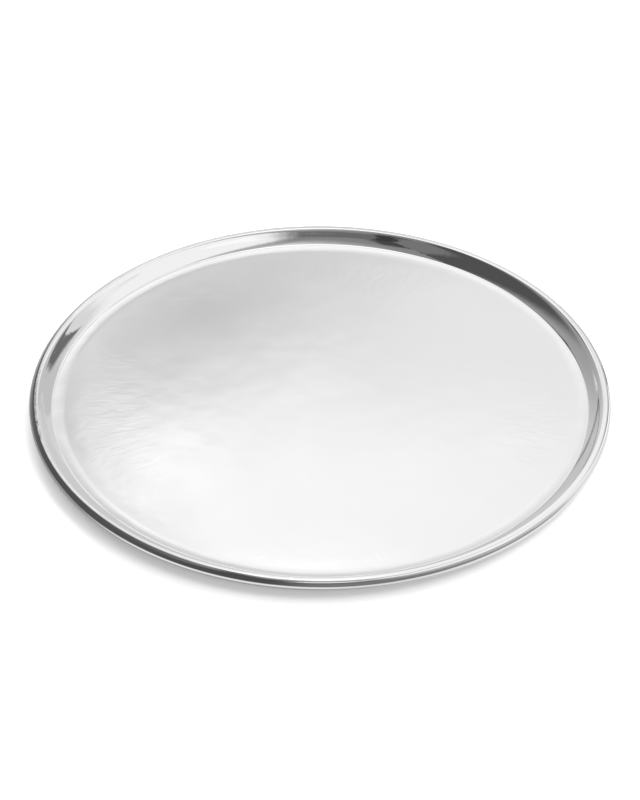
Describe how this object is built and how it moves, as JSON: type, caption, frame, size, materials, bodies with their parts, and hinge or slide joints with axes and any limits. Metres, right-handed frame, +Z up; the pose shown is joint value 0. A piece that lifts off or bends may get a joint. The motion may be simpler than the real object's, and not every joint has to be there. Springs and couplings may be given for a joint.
{
  "type": "paten plate",
  "caption": "Shallow round metal plate with a satin floor, an S-curved polished wall and a rolled edge curled around a stiffening wire.",
  "frame": {"origin": "middle of the flat underside, on the surface that the plate rests on", "axes": "+Z up along the plate's axis of revolution; +X and +Y are two square diameters"},
  "size_m": [0.3048, 0.3048, 0.0078],
  "materials": {
    "plate_steel": "satin buffed floor and underside; mirror-polished wall, shoulder and rolled edge",
    "wire_steel": "plain drawn wire, hidden inside the rolled edge"
  },
  "bodies": {
    "root": {"plate": "plate_steel", "rim_wire": "wire_steel"}
  },
  "joints": []
}
